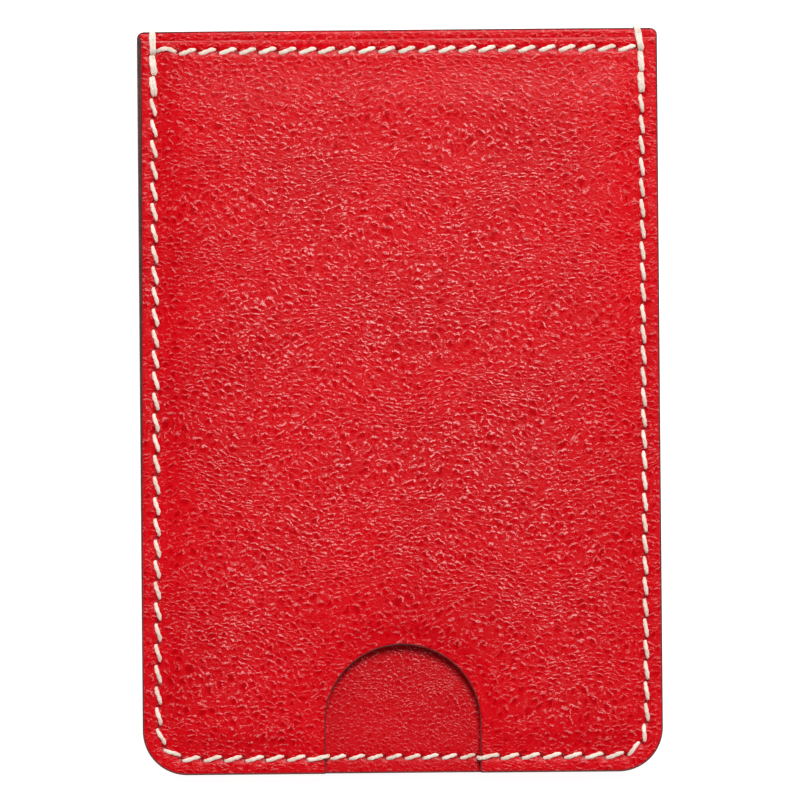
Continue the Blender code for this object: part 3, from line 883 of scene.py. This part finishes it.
# %% [markdown]
# ## Stitches
# A stitch is a short piece of twisted thread that rises out of one hole, crosses the leather
# and goes down the next. Hand sewing with two needles makes each stitch lean, so its path is
# a shallow S. Each stitch is a tube swept along that path, flatter than it is wide, with the
# twist of its plies turned into the tube itself.

# %% A stitch
SIDES = 12
RINGS = 15
HALF_WIDE, HALF_TALL = 0.27, 0.2
PLY = 0.12
TAPER = 0.25
END_DEPTH = 0.45
ABOVE = 0.7
CLIMB_POINTS, WRAP_POINTS = 24, 52
CLIMB_TWIST, WRAP_TWIST = 3.4, 7.0
random = np.random.default_rng(12)


def tube(path, wide, tall, twist, up):
    """Points and faces of a twisted oval tube along a path."""
    path = np.asarray(path, float)
    tangent = np.gradient(path, axis=0)
    tangent /= np.linalg.norm(tangent, axis=1)[:, None]
    ups = np.broadcast_to(np.asarray(up, float), path.shape)
    across = np.cross(tangent, ups)
    across /= np.linalg.norm(across, axis=1)[:, None]
    over = np.cross(across, tangent)
    angle = np.linspace(0, 2 * math.pi, SIDES, endpoint=False)
    travel = np.linspace(0, 1, len(path))[:, None]
    ply = 1 + PLY * np.cos(2 * (angle[None, :] - math.pi * twist * travel))
    taper = (1 - TAPER * np.abs(2 * travel - 1) ** 6) * ply
    rings = (path[:, None, :]
             + across[:, None, :] * (wide * taper * np.cos(angle))[..., None]
             + over[:, None, :] * (tall * taper * np.sin(angle))[..., None])
    faces = []
    for ring in range(len(path) - 1):
        for side in range(SIDES):
            a, b = ring * SIDES + side, ring * SIDES + (side + 1) % SIDES
            faces.append((a, b, b + SIDES, a + SIDES))
    last = (len(path) - 1) * SIDES
    faces.append(tuple(range(SIDES))[::-1])
    faces.append(tuple(range(last, last + SIDES)))
    return rings.reshape(-1, 3), faces


def gathered(parts):
    """Joins many small meshes into one list of points and one of faces."""
    points, faces, offset = [], [], 0
    for part_points, part_faces in parts:
        points.append(part_points)
        faces += [tuple(offset + corner for corner in face) for face in part_faces]
        offset += len(part_points)
    return np.concatenate(points), faces


def stitch(start, end, lean, ground, side, wide=HALF_WIDE, tall=HALF_TALL, shift=0.0,
           sink=0.16, bow=0.0):
    """One stitch from hole to hole. Lean moves its two ends apart across the row."""
    start, end = np.asarray(start, float), np.asarray(end, float)
    along = (end - start) / np.linalg.norm(end - start)
    across = np.array([-along[1], along[0]])
    part = np.linspace(0, 1, RINGS)
    jitter = random.uniform(-0.04, 0.04, 3)
    run = start + along * (sink + jitter[0]) + np.outer(
        part, end - start - along * (2 * sink + jitter[1]))
    off = lean * np.cos(math.pi * part) + bow * np.sin(math.pi * part)
    flat = run + np.outer(off + shift + jitter[2], across)
    arch = np.sin(math.pi * part) ** 0.55
    height = ground(flat[:, 0], flat[:, 1]) - END_DEPTH + (END_DEPTH + ABOVE * tall) * arch
    path = np.column_stack([flat, side * height])
    return tube(path, wide, tall, random.uniform(2.4, 3.2), up=(0, 0, side))


# %% [markdown]
# ## The seam
# The first two stitches at each end of the seam are sewn twice, and a doubled turn goes over
# the edge of the mouth, so the ends can't open. At the notch the stitch climbs from the
# lining of the back up the painted edge to the front leather. No holes are cut in the finished
# leather: the ends of every stitch sink into it, inside the dent, as thread does in a tight hole.

# %% Seam stitches
LEAN_LEFT, LEAN_BOTTOM, LEAN_RIGHT = 0.30, 0.30, 0.17
DOUBLED_SHIFTS = (-0.15, 0.17)
WRAP_SHIFTS = (-0.16, 0.17)
WRAP_LEFT_SLANT, WRAP_RIGHT_SLANT = -0.1, -0.55
NOTCH_WIDE, NOTCH_TALL = 0.25, 0.19
LINING_SINK = 0.06


def sewn_surface(notched):
    def ground(x, y):
        seam = side_distance(x, y) - SEAM_INSET
        return leather_top(x, y, notched) - GROOVE * bump(seam, GROOVE_WIDTH)
    return ground


def back_lining_ground(x, y):
    return -pocket_height(x, y) - LINING_SINK + 0 * x


def lean_at(distance):
    """The lean of a stitch, which differs from side to side as in hand sewing."""
    if distance < SEAM_SIDE:
        return LEAN_LEFT
    if distance > 2 * SEAM_HALF - SEAM_SIDE:
        return LEAN_RIGHT
    return LEAN_BOTTOM


def doubled(start, end, lean, ground, side):
    """Two strands side by side in the same holes."""
    return [stitch(start, end, lean * 0.5, ground, side, HALF_WIDE, HALF_TALL, shift, 0.03)
            for shift in DOUBLED_SHIFTS]


def smoothed_path(spots, count, rounds):
    """A rounded path of evenly shared points through a few corner spots."""
    spots = np.array(spots)
    dense = np.linspace(0, len(spots) - 1, count)
    path = np.stack([np.interp(dense, range(len(spots)), spots[:, axis])
                     for axis in range(3)], axis=1)
    for _ in range(rounds):
        path[1:-1] = (path[:-2] + 2 * path[1:-1] + path[2:]) / 4
    return path


def climbing(start, end, side_sign):
    """From the lining up over the notch edge to the front leather."""
    edge_x = NOTCH * side_sign
    top = float(leather_top(edge_x * 1.05, start[1], True))
    low = float(back_lining_ground(np.array(start[0]), np.array(start[1])))
    y0, y1 = start[1] - 0.20 * side_sign, end[1] + 0.22 * side_sign
    spots = [(start[0] + 0.02 * side_sign, y0, low - 0.3),
             (edge_x - 0.30 * side_sign, y0, low + 0.35),
             (edge_x - 0.24 * side_sign, y0, (low + top) / 2),
             (edge_x - 0.10 * side_sign, y0, top - 0.12),
             (edge_x + 0.28 * side_sign, y0 + 0.02 * side_sign, top + 0.14),
             (edge_x + 0.9 * side_sign, (y0 + y1) / 2, top + 0.13),
             (edge_x + 1.6 * side_sign, y1 - 0.05 * side_sign, top + 0.12),
             (end[0] - 0.32 * side_sign, y1, top + 0.02),
             (end[0] - 0.1 * side_sign, y1, top - 0.4)]
    path = smoothed_path(spots, CLIMB_POINTS, 1)
    return tube(path, HALF_WIDE, HALF_TALL, CLIMB_TWIST, up=(0.35 * -side_sign, 0, 1.0))


def wrapped(distance, shift, slant):
    """A turn over the edge of the mouth, from the first hole in front to the same behind."""
    x, y = seam_place(distance)[:2]
    level = float(leather_top(x, MOUTH - 1.5, True)) + 0.13
    over = MOUTH + 0.22
    spots = [(0.0, y + 0.1, level - 0.5), (0.0, y + 0.45, level), (0.4, y + 1.4, level + 0.02),
             (0.8, over - 0.55, level - 0.02), (1.0, over - 0.12, level - 0.22),
             (1.0, over, level - 0.6), (1.0, over + 0.02, 0.0)]
    front = [(x + shift + slant * part, y_at, z_at) for part, y_at, z_at in spots]
    spots = front + [(a, b, -c) for a, b, c in front[-2::-1]]
    path = smoothed_path(spots, WRAP_POINTS, 2)
    return tube(path, HALF_TALL, HALF_WIDE, WRAP_TWIST, up=(1.0, 0.02, 0.03))


def seam_side(side):
    """All the stitches of the seam on the front or on the back."""
    parts = []
    ground = sewn_surface(side > 0)
    last = len(seam_holes) - 2
    for index in range(last + 1):
        start, end = seam_spots[index][:2], seam_spots[index + 1][:2]
        lean = -lean_at((seam_holes[index] + seam_holes[index + 1]) / 2)
        inside = [abs(spot[0]) < NOTCH and spot[1] < BOTTOM + 5 for spot in (start, end)]
        if side > 0 and all(inside):
            parts.append(stitch(start, end, lean * 0.8, back_lining_ground, side,
                                NOTCH_WIDE, NOTCH_TALL))
        elif side > 0 and any(inside):
            inner, outer = (start, end) if inside[0] else (end, start)
            parts.append(climbing(inner, outer, math.copysign(1, outer[0])))
        elif index < 2 or index > last - 2:
            parts += doubled(start, end, lean, ground, side)
        else:
            parts.append(stitch(start, end, lean, ground, side))
    return parts


seam_parts = seam_side(1) + seam_side(-1)
for distance, slant in ((FIRST_HOLE, WRAP_LEFT_SLANT),
                        (2 * SEAM_HALF - FIRST_HOLE, WRAP_RIGHT_SLANT)):
    seam_parts += [wrapped(distance, shift, slant) for shift in WRAP_SHIFTS]
seam_points, seam_faces = gathered(seam_parts)
seam_piece = new_piece("seam_stitches", seam_points, seam_faces, ivory_thread)
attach(seam_piece, "root")
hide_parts("seam_thread")


# %% Hem stitches at the mouth
HEM_LEAN = -0.31
FIRST_LEAN, FIRST_BOW, FIRST_REACH = 0.05, 0.42, 0.4
HEM_WIDE = 0.29


def hem_ground(notched):
    def ground(x, y):
        return leather_top(x, y, notched) - GROOVE * bump(y - HEM, HEM_GROOVE_WIDTH)
    return ground


def hem_row(name, side, node):
    parts = []
    for start, end in zip(hem_holes, hem_holes[1:]):
        first = start == hem_holes[0]
        lean, bow, reach = (FIRST_LEAN, FIRST_BOW, FIRST_REACH) if first else (HEM_LEAN, 0, 0)
        parts.append(stitch((start - reach, HEM), (end, HEM), lean, hem_ground(side > 0), side,
                            HEM_WIDE, HALF_TALL, bow=bow))
    points, faces = gathered(parts)
    piece = new_piece(name, points, faces, ivory_thread)
    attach(piece, "root")
    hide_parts(node)


hem_row("front_mouth_stitches", 1, "front_mouth_thread")
hem_row("back_mouth_stitches", -1, "back_mouth_thread")

# %% [markdown]
# ## The table, the light and the camera
# The sleeve lies on a plain pale table. One large soft lamp stands beyond the mouth, high up,
# and the pale walls of the room fill the shadows, under a dark ceiling that leaves the red
# deep. The table gives off most of its own light, so the sleeve throws hardly any shadow on
# it. The camera looks straight down from far away, so the outline keeps its true shape.

# %% Table
REACH = 3.0
TABLE_GLOW = 0.88
mesh = bpy.data.meshes.new("table")
mesh.from_pydata([(-REACH, -REACH, 0), (REACH, -REACH, 0), (REACH, REACH, 0),
                  (-REACH, REACH, 0)], [], [(0, 1, 2, 3)])
table_top = bpy.data.objects.new("table", mesh)
bpy.context.scene.collection.objects.link(table_top)
pale = bpy.data.materials.new("Pale table")
pale.use_nodes = True
pale_shader = pale.node_tree.nodes["Principled BSDF"]
pale_shader.inputs["Base Color"].default_value = (0.55, 0.55, 0.55, 1.0)
pale_shader.inputs["Roughness"].default_value = 0.9
pale_shader.inputs["Specular IOR Level"].default_value = 0.1
pale_shader.inputs["Emission Color"].default_value = (1.0, 1.0, 1.0, 1.0)
pale_shader.inputs["Emission Strength"].default_value = TABLE_GLOW
mesh.materials.append(pale)

# %% Light
ROOM_LIGHT, CEILING_LIGHT = 1.0, 0.02
WALL_TOP, CEILING_START = 0.15, 0.86
LAMP_PLACE, LAMP_SIZE, LAMP_WATTS = (0.16, 0.60, 0.95), 0.5, 11.8
scene = bpy.context.scene
scene.view_settings.view_transform = "Standard"
world = bpy.data.worlds.new("Pale room")
world.use_nodes = True
room = world.node_tree
toward = add(room, "ShaderNodeTexCoord").outputs["Generated"]
height = add(room, "ShaderNodeSeparateXYZ", {"Vector": toward}).outputs["Z"]
room.links.new(between(room, height, WALL_TOP, CEILING_START, ROOM_LIGHT, CEILING_LIGHT),
               room.nodes["Background"].inputs["Strength"])
room.nodes["Background"].inputs["Color"].default_value = (1.0, 1.0, 1.0, 1.0)
scene.world = world


def lamp(name, place, size, watts):
    light = bpy.data.lights.new(name, "AREA")
    light.shape = "SQUARE"
    light.size = size
    light.energy = watts
    stand = bpy.data.objects.new(name, light)
    stand.location = place
    stand.rotation_euler = (-Vector(place)).to_track_quat("-Z", "Y").to_euler()
    scene.collection.objects.link(stand)


lamp("key", LAMP_PLACE, LAMP_SIZE, LAMP_WATTS)

# %% Camera
VIEW_WIDTH = 0.10744
DISTANCE = 0.9
CAMERA_SHIFT = 0.00023
CAMERA_ROLL = -0.5
camera_data = bpy.data.cameras.new("camera")
camera_data.sensor_width = 36.0
camera_data.lens = camera_data.sensor_width * DISTANCE / VIEW_WIDTH
camera_data.clip_start = 0.01
camera_data.clip_end = 20.0
camera = bpy.data.objects.new("camera", camera_data)
scene.collection.objects.link(camera)
camera.location = (0.0, (MOUTH + BOTTOM) / 2 * METRES + CAMERA_SHIFT,
                   2 * MIDDLE * METRES + DISTANCE)
camera.rotation_euler = (0.0, 0.0, math.radians(CAMERA_ROLL))
scene.camera = camera
